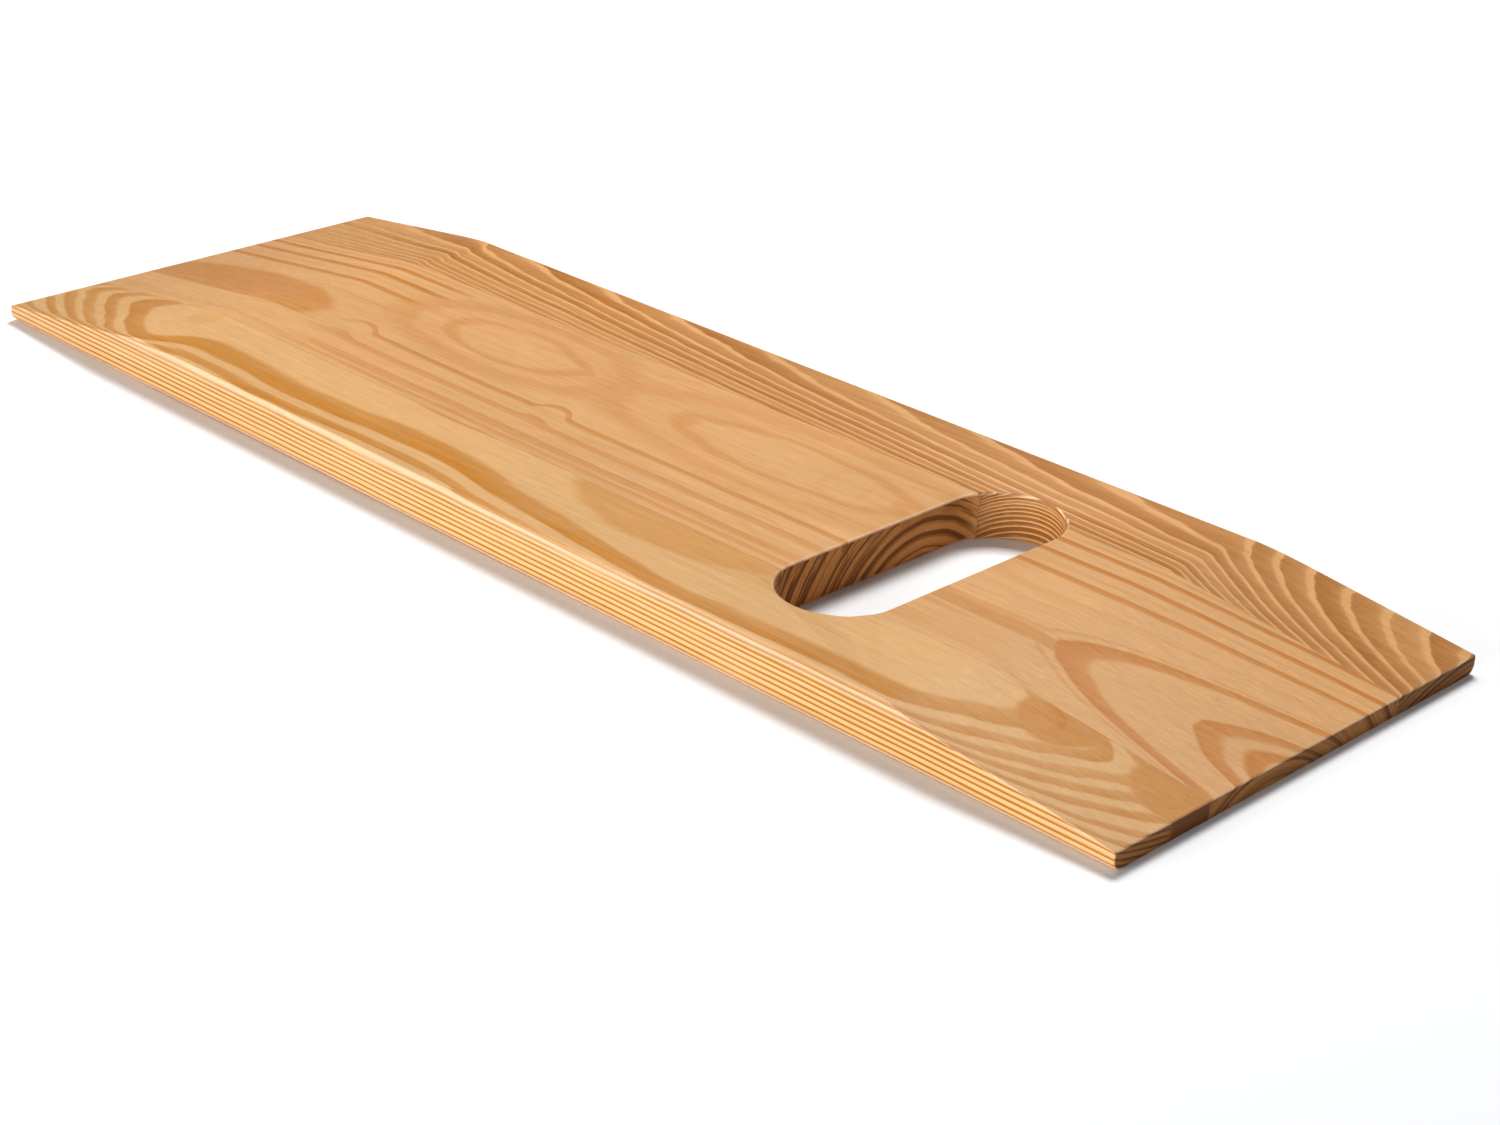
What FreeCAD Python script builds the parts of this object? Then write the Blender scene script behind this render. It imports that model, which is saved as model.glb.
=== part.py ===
import FreeCAD, Part

import os

import Sketcher

# Transfer board: a flat wooden board that a person slides across, from one seat to another.
#
# Frame: millimetres, +Z up, origin under the middle of the board on the surface that it lies on.
# X runs along the board and Y across it. The hand hole is near the +X end.
#
# Three staves are glued edge to edge into one panel, and the panel is then shaped as a whole: its
# long edges are rounded over, its top is tapered down to both ends, and the hand hole is cut
# through all three staves. So the shaped panel is modelled once, and each stave and each line of
# glue is the part of that panel which lies inside its own slab.

SIZES = [
    ("board_length", 609.6, "overall length, along X"),
    ("board_width", 203.2, "overall width, along Y"),
    ("board_thickness", 19.0, "thickness between the two tapers"),
    ("end_thickness", 7.2, "thickness left at each end face"),
    ("taper_run", 98.5, "length of each taper, from the end face to the flat of the top"),
    ("taper_blend_radius", 60.0, "radius of the softened bend where a taper meets the flat"),
    ("edge_radius", 4.0, "round-over of the long edges, above and below"),
    ("end_ease", 0.8, "radius of the eased edges around each end face"),
    ("outer_stave_width", 48.5, "width of the front and back staves, to the middle of the glue"),
    ("glue_thickness", 0.2, "thickness of each line of glue"),
    ("hole_width", 46.0, "hand hole, along X"),
    ("hole_length", 136.0, "hand hole, along Y, over its round ends"),
    ("hole_end_distance", 162.4, "from the middle of the hand hole to the +X end face"),
    ("hole_shift", 2.3, "how far the hand hole sits from the centre line, towards -Y"),
    ("hole_rim_radius", 1.2, "round-over of the hand hole's rims, above and below"),
    ("cut_margin", 5.0, "how far the cutting shapes reach past what they cut"),
]

# Limits of the slabs that divide the panel, as spreadsheet expressions.
FRONT_OUTSIDE = "-Sizes.board_width / 2 - Sizes.cut_margin"
FRONT_GLUE_FRONT = "-Sizes.board_width / 2 + Sizes.outer_stave_width - Sizes.glue_thickness / 2"
FRONT_GLUE_BACK = "-Sizes.board_width / 2 + Sizes.outer_stave_width + Sizes.glue_thickness / 2"
BACK_GLUE_FRONT = "Sizes.board_width / 2 - Sizes.outer_stave_width - Sizes.glue_thickness / 2"
BACK_GLUE_BACK = "Sizes.board_width / 2 - Sizes.outer_stave_width + Sizes.glue_thickness / 2"
BACK_OUTSIDE = "Sizes.board_width / 2 + Sizes.cut_margin"
FAR_OUTSIDE = "-Sizes.board_length / 2 - Sizes.cut_margin"
HOLE_MIDDLE = "Sizes.board_length / 2 - Sizes.hole_end_distance"
NEAR_OUTSIDE = "Sizes.board_length / 2 + Sizes.cut_margin"

# Each slab is a piece's name, its low and high limits along Y and its low and high limits along X.
# The hand hole interrupts the middle stave and the glue, so a boundary through the middle of the
# hole parts each of them into a long and a short piece.
SLABS = [
    ("front_stave", FRONT_OUTSIDE, FRONT_GLUE_FRONT, FAR_OUTSIDE, NEAR_OUTSIDE),
    ("middle_stave_long", FRONT_GLUE_BACK, BACK_GLUE_FRONT, FAR_OUTSIDE, HOLE_MIDDLE),
    ("middle_stave_short", FRONT_GLUE_BACK, BACK_GLUE_FRONT, HOLE_MIDDLE, NEAR_OUTSIDE),
    ("back_stave", BACK_GLUE_BACK, BACK_OUTSIDE, FAR_OUTSIDE, NEAR_OUTSIDE),
    ("front_glue_long", FRONT_GLUE_FRONT, FRONT_GLUE_BACK, FAR_OUTSIDE, HOLE_MIDDLE),
    ("front_glue_short", FRONT_GLUE_FRONT, FRONT_GLUE_BACK, HOLE_MIDDLE, NEAR_OUTSIDE),
    ("back_glue_long", BACK_GLUE_FRONT, BACK_GLUE_BACK, FAR_OUTSIDE, HOLE_MIDDLE),
    ("back_glue_short", BACK_GLUE_FRONT, BACK_GLUE_BACK, HOLE_MIDDLE, NEAR_OUTSIDE),
]

TOLERANCE = 1e-4


def make_sheet(document):
    """Put every driving dimension in a spreadsheet cell with a name."""
    sheet = document.addObject("Spreadsheet::Sheet", "Sizes")
    for row, (alias, value, meaning) in enumerate(SIZES, start=1):
        sheet.set(f"A{row}", alias)
        sheet.set(f"B{row}", str(value))
        sheet.set(f"C{row}", meaning)
        sheet.setAlias(f"B{row}", alias)
    document.recompute()
    return sheet


def origin_plane(body, role):
    """Return one of the body's own origin planes."""
    for feature in body.Origin.OriginFeatures:
        if feature.Role == role:
            return feature
    raise RuntimeError(f"no origin plane {role}")


def new_sketch(body, name, role):
    """Start a sketch on one of the body's origin planes."""
    sketch = body.newObject("Sketcher::SketchObject", name)
    sketch.AttachmentSupport = (origin_plane(body, role), [""])
    sketch.MapMode = "FlatFace"
    return sketch


def size_constraint(sketch, name, expression, *constraint):
    """Add a constraint and bind its value to the spreadsheet."""
    index = sketch.addConstraint(Sketcher.Constraint(*constraint))
    sketch.renameConstraint(index, name)
    sketch.setExpression(f"Constraints.{name}", expression)


def add_blank(body, sheet):
    """Square panel: the cross-section is a rectangle that stands on the XY plane."""
    half_width = sheet.board_width / 2
    height = sheet.board_thickness
    corners = [
        FreeCAD.Vector(-half_width, 0, 0),
        FreeCAD.Vector(half_width, 0, 0),
        FreeCAD.Vector(half_width, height, 0),
        FreeCAD.Vector(-half_width, height, 0),
    ]
    sketch = new_sketch(body, "cross_section", "YZ_Plane")
    for start, end in zip(corners, corners[1:] + corners[:1]):
        sketch.addGeometry(Part.LineSegment(start, end))
    for side in range(4):
        sketch.addConstraint(Sketcher.Constraint("Coincident", side, 2, (side + 1) % 4, 1))
    sketch.addConstraint(Sketcher.Constraint("Symmetric", 0, 1, 0, 2, -1, 1))
    sketch.addConstraint(Sketcher.Constraint("Horizontal", 0))
    sketch.addConstraint(Sketcher.Constraint("Horizontal", 2))
    sketch.addConstraint(Sketcher.Constraint("Vertical", 1))
    sketch.addConstraint(Sketcher.Constraint("Vertical", 3))
    size_constraint(sketch, "width", "Sizes.board_width", "DistanceX", 0, 1, 0, 2, 2 * half_width)
    size_constraint(sketch, "height", "Sizes.board_thickness", "DistanceY", 1, 1, 1, 2, height)
    pad = body.newObject("PartDesign::Pad", "blank")
    pad.Profile = sketch
    pad.Midplane = True
    pad.setExpression("Length", "Sizes.board_length")
    body.Document.recompute()
    return pad


def edges_where(shape, test):
    """Names of the shape's edges that pass the test."""
    return [f"Edge{i}" for i, edge in enumerate(shape.Edges, start=1) if test(edge)]


def add_fillet(body, name, base, edges, radius):
    """Round the named edges of a feature."""
    fillet = body.newObject("PartDesign::Fillet", name)
    fillet.Base = (base, edges)
    fillet.setExpression("Radius", radius)
    body.Document.recompute()
    return fillet


def runs_along_x(edge):
    """True for a straight edge parallel to X."""
    return abs(edge.BoundBox.YLength) < TOLERANCE and abs(edge.BoundBox.ZLength) < TOLERANCE


def add_taper_outline(sketch, side, sheet, first):
    """Closed outline of the wedge taken off the top at one end; side is +1 or -1 along X.

    The wedge's lower side is the taper, tangent to a blend arc that leaves the flat of the top.
    """
    half_length = sheet.board_length / 2
    top = sheet.board_thickness
    margin = sheet.cut_margin
    flat_end = half_length - sheet.taper_run
    slope = (top - sheet.end_thickness) / sheet.taper_run
    blend = sheet.taper_blend_radius
    blend_run = blend * slope

    def point(x, z):
        return FreeCAD.Vector(side * x, z, 0)

    tip = point(half_length + margin, sheet.end_thickness - margin * slope)
    blend_low = point(flat_end + blend_run, top - blend_run * slope / 2)
    blend_high = point(flat_end, top)
    above_high = point(flat_end, top + margin)
    above_tip = point(half_length + margin, top + margin)
    middle = point(flat_end + blend_run / 2, top - blend_run * slope / 8)

    sketch.addGeometry(Part.LineSegment(tip, blend_low))
    sketch.addGeometry(Part.Arc(blend_low, middle, blend_high))
    sketch.addGeometry(Part.LineSegment(blend_high, above_high))
    sketch.addGeometry(Part.LineSegment(above_high, above_tip))
    sketch.addGeometry(Part.LineSegment(above_tip, tip))
    taper, arc, riser, lid, outer = range(first, first + 5)
    low_end, high_end = (1, 2) if side > 0 else (2, 1)

    sketch.addConstraint(Sketcher.Constraint("Tangent", taper, 2, arc, low_end))
    sketch.addConstraint(Sketcher.Constraint("Coincident", arc, high_end, riser, 1))
    sketch.addConstraint(Sketcher.Constraint("Coincident", riser, 2, lid, 1))
    sketch.addConstraint(Sketcher.Constraint("Coincident", lid, 2, outer, 1))
    sketch.addConstraint(Sketcher.Constraint("Coincident", outer, 2, taper, 1))
    sketch.addConstraint(Sketcher.Constraint("Vertical", riser))
    sketch.addConstraint(Sketcher.Constraint("Horizontal", lid))
    sketch.addConstraint(Sketcher.Constraint("Vertical", outer))
    # The arc's centre is straight below its upper end, so the arc is tangent to the flat.
    sketch.addConstraint(Sketcher.Constraint("Vertical", arc, 3, arc, high_end))
    # A free point marks where the taper meets the end face, at the thickness left there.
    sketch.addGeometry(Part.Point(point(half_length, sheet.end_thickness)))
    meeting = first + 5
    sketch.addConstraint(Sketcher.Constraint("PointOnObject", meeting, 1, taper))

    word = "near" if side > 0 else "far"
    size_constraint(
        sketch, f"{word}_blend", "Sizes.taper_blend_radius", "Radius", arc, blend)
    size_constraint(
        sketch, f"{word}_top", "Sizes.board_thickness", "DistanceY", -1, 1, arc, high_end, top)
    size_constraint(
        sketch, f"{word}_end", "Sizes.end_thickness",
        "DistanceY", -1, 1, meeting, 1, sheet.end_thickness)
    size_constraint(
        sketch, f"{word}_rise", "Sizes.cut_margin", "DistanceY", riser, 1, riser, 2, margin)
    outward = [(-1, 1), (meeting, 1)] if side > 0 else [(meeting, 1), (-1, 1)]
    size_constraint(
        sketch, f"{word}_half", "Sizes.board_length / 2",
        "DistanceX", *outward[0], *outward[1], half_length)
    run = [(arc, high_end), (meeting, 1)] if side > 0 else [(meeting, 1), (arc, high_end)]
    size_constraint(
        sketch, f"{word}_run", "Sizes.taper_run", "DistanceX", *run[0], *run[1], sheet.taper_run)
    past = [(meeting, 1), (outer, 1)] if side > 0 else [(outer, 1), (meeting, 1)]
    size_constraint(
        sketch, f"{word}_past", "Sizes.cut_margin", "DistanceX", *past[0], *past[1], margin)


def add_tapers(body, sheet):
    """Cut both tapers right across the top, after the long edges have been rounded over."""
    sketch = new_sketch(body, "taper_wedges", "XZ_Plane")
    add_taper_outline(sketch, 1, sheet, 0)
    add_taper_outline(sketch, -1, sheet, sketch.GeometryCount)
    pocket = body.newObject("PartDesign::Pocket", "tapers")
    pocket.Profile = sketch
    pocket.Midplane = True
    pocket.setExpression("Length", "Sizes.board_width + 2 * Sizes.cut_margin")
    body.Document.recompute()
    return pocket


def add_hand_hole(body, sheet):
    """Cut the hand hole: straight sides along Y and a half circle at each end."""
    radius = sheet.hole_width / 2
    straight = sheet.hole_length - sheet.hole_width
    middle_x = sheet.board_length / 2 - sheet.hole_end_distance
    low_y = -sheet.hole_shift - straight / 2
    high_y = -sheet.hole_shift + straight / 2

    def half_circle(y, bulge):
        return Part.Arc(
            FreeCAD.Vector(middle_x + radius, y, 0),
            FreeCAD.Vector(middle_x, y + bulge * radius, 0),
            FreeCAD.Vector(middle_x - radius, y, 0))

    sketch = new_sketch(body, "hole_outline", "XY_Plane")
    sketch.addGeometry(half_circle(high_y, 1))
    sketch.addGeometry(Part.LineSegment(
        FreeCAD.Vector(middle_x - radius, high_y, 0), FreeCAD.Vector(middle_x - radius, low_y, 0)))
    sketch.addGeometry(half_circle(low_y, -1))
    sketch.addGeometry(Part.LineSegment(
        FreeCAD.Vector(middle_x + radius, low_y, 0), FreeCAD.Vector(middle_x + radius, high_y, 0)))
    # An arc runs anticlockwise from its first point: the high one from +X to -X, the low one back.
    high_arc, far_side, low_arc, near_side = range(4)
    sketch.addConstraint(Sketcher.Constraint("Tangent", high_arc, 2, far_side, 1))
    sketch.addConstraint(Sketcher.Constraint("Tangent", far_side, 2, low_arc, 1))
    sketch.addConstraint(Sketcher.Constraint("Tangent", low_arc, 2, near_side, 1))
    sketch.addConstraint(Sketcher.Constraint("Tangent", near_side, 2, high_arc, 1))
    sketch.addConstraint(Sketcher.Constraint("Vertical", far_side))
    size_constraint(sketch, "end_radius", "Sizes.hole_width / 2", "Radius", high_arc, radius)
    size_constraint(
        sketch, "straight", "Sizes.hole_length - Sizes.hole_width",
        "DistanceY", near_side, 1, near_side, 2, straight)
    size_constraint(
        sketch, "along", "Sizes.board_length / 2 - Sizes.hole_end_distance",
        "DistanceX", -1, 1, high_arc, 3, middle_x)
    size_constraint(
        sketch, "across", "(Sizes.hole_length - Sizes.hole_width) / 2 - Sizes.hole_shift",
        "DistanceY", -1, 1, high_arc, 3, high_y)
    pocket = body.newObject("PartDesign::Pocket", "hand_hole")
    pocket.Profile = sketch
    pocket.Type = "ThroughAll"
    pocket.Midplane = True
    body.Document.recompute()
    return pocket


def on_hole_rim(edge, sheet):
    """True for an edge of the hand hole that lies in the top or the bottom of the board."""
    box = edge.BoundBox
    middle_x = sheet.board_length / 2 - sheet.hole_end_distance
    inside = abs(box.Center.x - middle_x) < sheet.hole_width / 2 + TOLERANCE
    inside = inside and abs(box.Center.y + sheet.hole_shift) < sheet.hole_length / 2 + TOLERANCE
    level = box.ZLength < TOLERANCE
    at_face = box.ZMin < TOLERANCE or box.ZMax > sheet.board_thickness - TOLERANCE
    long_side = box.XLength > sheet.board_length / 2
    return inside and level and at_face and not long_side


def on_end_face(edge, sheet):
    """True for an edge that lies in one of the two end faces."""
    box = edge.BoundBox
    return box.XLength < TOLERANCE and abs(box.Center.x) > sheet.board_length / 2 - TOLERANCE


def check_cut(before, after):
    """A cut that takes nothing away points the wrong way."""
    if not after.Shape.Volume < before.Shape.Volume:
        raise RuntimeError(f"{after.Name} removed nothing")


def make_panel(document, sheet):
    """The whole glued panel, shaped."""
    body = document.addObject("PartDesign::Body", "panel")
    blank = add_blank(body, sheet)
    long_edges = edges_where(blank.Shape, runs_along_x)
    rounded = add_fillet(body, "rounded_edges", blank, long_edges, "Sizes.edge_radius")
    tapers = add_tapers(body, sheet)
    check_cut(rounded, tapers)
    hole = add_hand_hole(body, sheet)
    check_cut(tapers, hole)
    rim = edges_where(hole.Shape, lambda edge: on_hole_rim(edge, sheet))
    rims = add_fillet(body, "hole_rims", hole, rim, "Sizes.hole_rim_radius")
    ends = edges_where(rims.Shape, lambda edge: on_end_face(edge, sheet))
    add_fillet(body, "eased_ends", rims, ends, "Sizes.end_ease")
    return body


def cut_piece(document, panel, name, low_y, high_y, low_x, high_x):
    """One piece of the panel: what lies inside the slab between the given limits."""
    slab = document.addObject("Part::Box", f"{name}_slab")
    slab.setExpression("Placement.Base.x", low_x)
    slab.setExpression("Placement.Base.y", low_y)
    slab.setExpression("Placement.Base.z", "-Sizes.cut_margin")
    slab.setExpression("Length", f"({high_x}) - ({low_x})")
    slab.setExpression("Width", f"({high_y}) - ({low_y})")
    slab.setExpression("Height", "Sizes.board_thickness + 2 * Sizes.cut_margin")
    piece = document.addObject("Part::Common", name)
    piece.Base = panel
    piece.Tool = slab
    piece.Label = name
    piece.Placement = FreeCAD.Placement()
    return piece


def check_document(document, pieces):
    """Stop if any object failed, or any piece is not one valid solid."""
    for item in document.Objects:
        if "Invalid" in item.State or "Error" in item.State:
            raise RuntimeError(f"{item.Name}: {item.State}")
    for piece in pieces:
        shape = piece.Shape
        if shape.isNull() or not shape.isValid() or len(shape.Solids) != 1:
            raise RuntimeError(f"{piece.Label} is not one valid solid")


def main():
    document = FreeCAD.newDocument("transfer_board")
    sheet = make_sheet(document)
    panel = make_panel(document, sheet)
    pieces = [cut_piece(document, panel, *slab) for slab in SLABS]
    document.recompute()
    check_document(document, pieces)
    os.makedirs("parts", exist_ok=True)
    for piece in pieces:
        piece.Shape.exportStep(f"parts/{piece.Label}.step")
        print(f"{piece.Label}: {piece.Shape.Volume:.0f} mm3")


main()
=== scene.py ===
"""Looks of the transfer board: three glued wooden staves with tapered ends and a hand hole.

Lengths are in metres and the frame is the CAD frame: X along the board, Y across it, Z up,
with the origin under the middle of the board.
"""

import math

import bmesh
import bpy
from mathutils import Matrix, Vector
from mathutils.geometry import delaunay_2d_cdt


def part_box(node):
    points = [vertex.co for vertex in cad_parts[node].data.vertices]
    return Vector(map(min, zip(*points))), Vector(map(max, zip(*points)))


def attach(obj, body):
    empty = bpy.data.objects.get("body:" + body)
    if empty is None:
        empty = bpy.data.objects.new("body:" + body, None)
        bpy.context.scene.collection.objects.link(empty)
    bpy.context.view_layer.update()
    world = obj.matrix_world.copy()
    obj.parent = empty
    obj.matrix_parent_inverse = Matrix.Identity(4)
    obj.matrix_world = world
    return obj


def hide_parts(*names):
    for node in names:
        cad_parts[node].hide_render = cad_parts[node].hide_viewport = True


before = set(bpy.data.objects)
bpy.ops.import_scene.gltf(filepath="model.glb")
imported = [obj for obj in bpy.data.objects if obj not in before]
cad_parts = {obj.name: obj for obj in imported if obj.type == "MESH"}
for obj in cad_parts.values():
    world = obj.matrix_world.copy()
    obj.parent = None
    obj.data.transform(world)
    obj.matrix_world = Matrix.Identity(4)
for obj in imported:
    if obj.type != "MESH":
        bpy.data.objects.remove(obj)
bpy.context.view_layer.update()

MM = 0.001

# Sizes of the board. The overall ones come from the frame.
FRONT_LOW, FRONT_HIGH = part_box("front_stave")
_, BACK_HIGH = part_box("back_stave")
LENGTH = FRONT_HIGH.x - FRONT_LOW.x
WIDTH = BACK_HIGH.y - FRONT_LOW.y
THICKNESS = FRONT_HIGH.z - FRONT_LOW.z
END_THICKNESS = 7.2 * MM
TAPER_RUN = 98.5 * MM
TAPER_BLEND = 60 * MM
EDGE_RADIUS = 4 * MM
TAPER_EDGE_SOFTNESS = 0.5 * MM
END_EASE = 0.8 * MM
HOLE_RADIUS = 23 * MM
HOLE_STRAIGHT = 90 * MM
HOLE_X = LENGTH / 2 - 162.4 * MM
HOLE_Y = -2.3 * MM
RIM_RADIUS = 1.2 * MM
FLAT_HALF = LENGTH / 2 - TAPER_RUN

# How finely the curved parts are divided, and how closely the cuts are made.
ROUND_STEPS = 10
SOFT_STEPS = 4
EASE_STEPS = 4
RIM_STEPS = 6
HOLE_END_STEPS = 48
CUT_STEPS = 30
SMOOTH_ANGLE = math.radians(32)
MERGE_DISTANCE = 1e-6
CUT_MARGIN = 1 * MM

# Colours, as linear red, green and blue: each stave's pale and dark wood, the paler wood of the long
# sides, which is painted light, the painted highlight of the rounded edges, and the wood of the
# faces that cut across the fibres.
FRONT_PALE = (0.60, 0.34, 0.135)
FRONT_DARK = (0.45, 0.165, 0.008)
MIDDLE_PALE = (0.59, 0.315, 0.125)
MIDDLE_DARK = (0.45, 0.152, 0.014)
BACK_PALE = (0.63, 0.325, 0.12)
BACK_DARK = (0.33, 0.115, 0.014)
# Painted light: the long sides are mixed towards this paler colour.
SIDE_PAINTED_LIGHT_COLOUR = (0.86, 0.52, 0.25)
EDGE_HIGHLIGHT_COLOUR = (0.90, 0.60, 0.36)
END_GRAIN_PALE = (0.60, 0.26, 0.075)
END_GRAIN_DARK = (0.10, 0.028, 0.004)
FLECK_COLOUR = (0.16, 0.07, 0.03)
GLUE_DARK = (0.27, 0.115, 0.035)
GLUE_PALE = tuple(1.7 * channel for channel in GLUE_DARK)
FLOOR_COLOUR = (0.84, 0.845, 0.85)


# ---------------------------------------------------------------- shape of the board


def taper_angle():
    """Slope of the tapers: a line from the end face that is tangent to the blend arc."""
    rise = END_THICKNESS - THICKNESS + TAPER_BLEND
    reach = math.hypot(TAPER_RUN, rise)
    return math.atan2(TAPER_RUN, rise) - math.acos(TAPER_BLEND / reach)


def top_height(x):
    """Height of the top: the flat, then the blend arc, then the taper."""
    past = abs(x) - FLAT_HALF
    if past <= 0:
        return THICKNESS
    if past < TAPER_BLEND * math.sin(taper_angle()):
        return THICKNESS - TAPER_BLEND + math.sqrt(TAPER_BLEND ** 2 - past ** 2)
    return END_THICKNESS + (TAPER_RUN - past) * math.tan(taper_angle())


def half_section(x, inset):
    """One long edge seen along the board, from bottom to top: (distance from the middle, height)."""
    radius = EDGE_RADIUS - inset
    middle = WIDTH / 2 - EDGE_RADIUS
    points = []
    for step in range(ROUND_STEPS + 1):
        turn = math.pi / 2 * step / ROUND_STEPS
        points.append((middle + radius * math.sin(turn), EDGE_RADIUS - radius * math.cos(turn)))

    # The taper cuts the upper round-over at some point of its quarter turn, and a small soft
    # radius blends the two. Where the taper is below the whole round-over, that point is 0.
    height = top_height(x) - inset
    soft = TAPER_EDGE_SOFTNESS
    shoulder = THICKNESS - EDGE_RADIUS
    share = (height - soft - shoulder) / (radius - soft)
    limit = math.asin(min(1, max(0, share)))
    level = min(shoulder, height - soft)
    for step in range(ROUND_STEPS + 1):
        turn = limit * step / ROUND_STEPS
        points.append((middle + radius * math.cos(turn), level + radius * math.sin(turn)))
    across = middle + (radius - soft) * math.cos(limit)
    up = level + (radius - soft) * math.sin(limit)
    for step in range(SOFT_STEPS + 1):
        turn = limit + (math.pi / 2 - limit) * step / SOFT_STEPS
        points.append((across + soft * math.cos(turn), up + soft * math.sin(turn)))
    return points


def stations():
    """Places along one half of the board where its section is drawn: (distance, inset).

    They lie close together over the run in which the taper cuts the round-over away.
    """
    cut_run = EDGE_RADIUS / math.tan(taper_angle()) + TAPER_BLEND * math.sin(taper_angle())
    places = [(FLAT_HALF + cut_run * step / CUT_STEPS, 0) for step in range(CUT_STEPS + 1)]
    for step in range(EASE_STEPS + 1):
        turn = math.pi / 2 * step / EASE_STEPS
        distance = LENGTH / 2 - END_EASE + END_EASE * math.sin(turn)
        places.append((distance, END_EASE * (1 - math.cos(turn))))
    return places


def add_section(bm, x, inset):
    """Vertices of a whole section, anticlockwise as seen from +X, starting at the bottom."""
    right = half_section(x, inset)
    outline = right + [(-y, z) for y, z in reversed(right)]
    return [bm.verts.new((x, y, z)) for y, z in outline]


def hole_outline(offset):
    """Outline of the hand hole in plan, moved outwards by the offset."""
    points = []
    for side in (1, -1):
        for step in range(HOLE_END_STEPS + 1):
            turn = math.pi * step / HOLE_END_STEPS
            x = HOLE_X + side * (HOLE_RADIUS + offset) * math.cos(turn)
            y = HOLE_Y + side * (HOLE_STRAIGHT / 2 + (HOLE_RADIUS + offset) * math.sin(turn))
            points.append((x, y))
    return points


def hole_levels():
    """Outward offset and height of each line around the hand hole, from the top down."""
    levels = []
    for step in range(RIM_STEPS + 1):
        turn = math.pi / 2 * step / RIM_STEPS
        levels.append((RIM_RADIUS * (1 - math.sin(turn)), RIM_RADIUS * (1 - math.cos(turn))))
    top = [(offset, THICKNESS - drop) for offset, drop in levels]
    bottom = [(offset, drop) for offset, drop in reversed(levels)]
    return top + bottom


def inside_hole(point):
    """True where a point in plan lies inside the hand hole."""
    along = max(0, abs(point.y - HOLE_Y) - HOLE_STRAIGHT / 2)
    return math.hypot(point.x - HOLE_X, along) < HOLE_RADIUS + RIM_RADIUS / 2


def add_face_with_hole(bm, z, half_width):
    """The flat of the top or of the bottom, between the tapers, with the hand hole left open."""
    corners = [
        Vector((FLAT_HALF, half_width)),
        Vector((-FLAT_HALF, half_width)),
        Vector((-FLAT_HALF, -half_width)),
        Vector((FLAT_HALF, -half_width)),
    ]
    rim = [Vector(point) for point in hole_outline(RIM_RADIUS)]
    edges = [(i, (i + 1) % 4) for i in range(4)]
    edges += [(4 + i, 4 + (i + 1) % len(rim)) for i in range(len(rim))]
    points, _, triangles, *_ = delaunay_2d_cdt(corners + rim, edges, [], 0, MERGE_DISTANCE)
    verts = [bm.verts.new((point.x, point.y, z)) for point in points]
    for triangle in triangles:
        middle = sum((points[i] for i in triangle), Vector((0, 0))) / 3
        if not inside_hole(middle):
            order = triangle if z > 0 else tuple(reversed(triangle))
            bm.faces.new([verts[i] for i in order])


def join_rings(bm, first, second, skipped=()):
    """Faces between two closed rings of vertices."""
    count = len(first)
    for i in range(count):
        if i not in skipped:
            j = (i + 1) % count
            bm.faces.new((first[i], first[j], second[j], second[i]))


def make_panel():
    """The whole glued board as one closed mesh."""
    bm = bmesh.new()
    near = stations()
    places = [(-x, inset) for x, inset in reversed(near)] + near
    rings = [add_section(bm, x, inset) for x, inset in places]

    # Between the tapers the flats of the top and the bottom are left out: they have the hole.
    half = len(rings[0]) // 2
    flats = (half - 1, 2 * half - 1)
    for index, (ring, following) in enumerate(zip(rings, rings[1:])):
        between_tapers = index == len(near) - 1
        join_rings(bm, ring, following, flats if between_tapers else ())
    bm.faces.new(rings[0])
    bm.faces.new(rings[-1])

    half_width = WIDTH / 2 - EDGE_RADIUS
    add_face_with_hole(bm, THICKNESS, half_width)
    add_face_with_hole(bm, 0, half_width)
    walls = []
    for offset, z in hole_levels():
        walls.append([bm.verts.new((x, y, z)) for x, y in hole_outline(offset)])
    for upper, lower in zip(walls, walls[1:]):
        join_rings(bm, upper, lower)

    bmesh.ops.remove_doubles(bm, verts=bm.verts, dist=MERGE_DISTANCE)
    bmesh.ops.recalc_face_normals(bm, faces=bm.faces)
    return bm


def cut_away(bm, point, direction):
    """Remove what lies beyond a plane and close the cut."""
    geometry = list(bm.verts) + list(bm.edges) + list(bm.faces)
    bmesh.ops.bisect_plane(
        bm, geom=geometry, dist=MERGE_DISTANCE, plane_co=point, plane_no=direction,
        clear_outer=True)
    open_edges = [edge for edge in bm.edges if edge.is_boundary]
    bmesh.ops.holes_fill(bm, edges=open_edges, sides=0)


def merge_flats(bm):
    """Make one face of each flat stretch of the top and the bottom, so that it shades evenly."""
    for level in (0, THICKNESS):
        flat = [face for face in bm.faces
                if all(abs(vert.co.z - level) < MERGE_DISTANCE for vert in face.verts)]
        bmesh.ops.dissolve_faces(bm, faces=flat)


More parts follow.
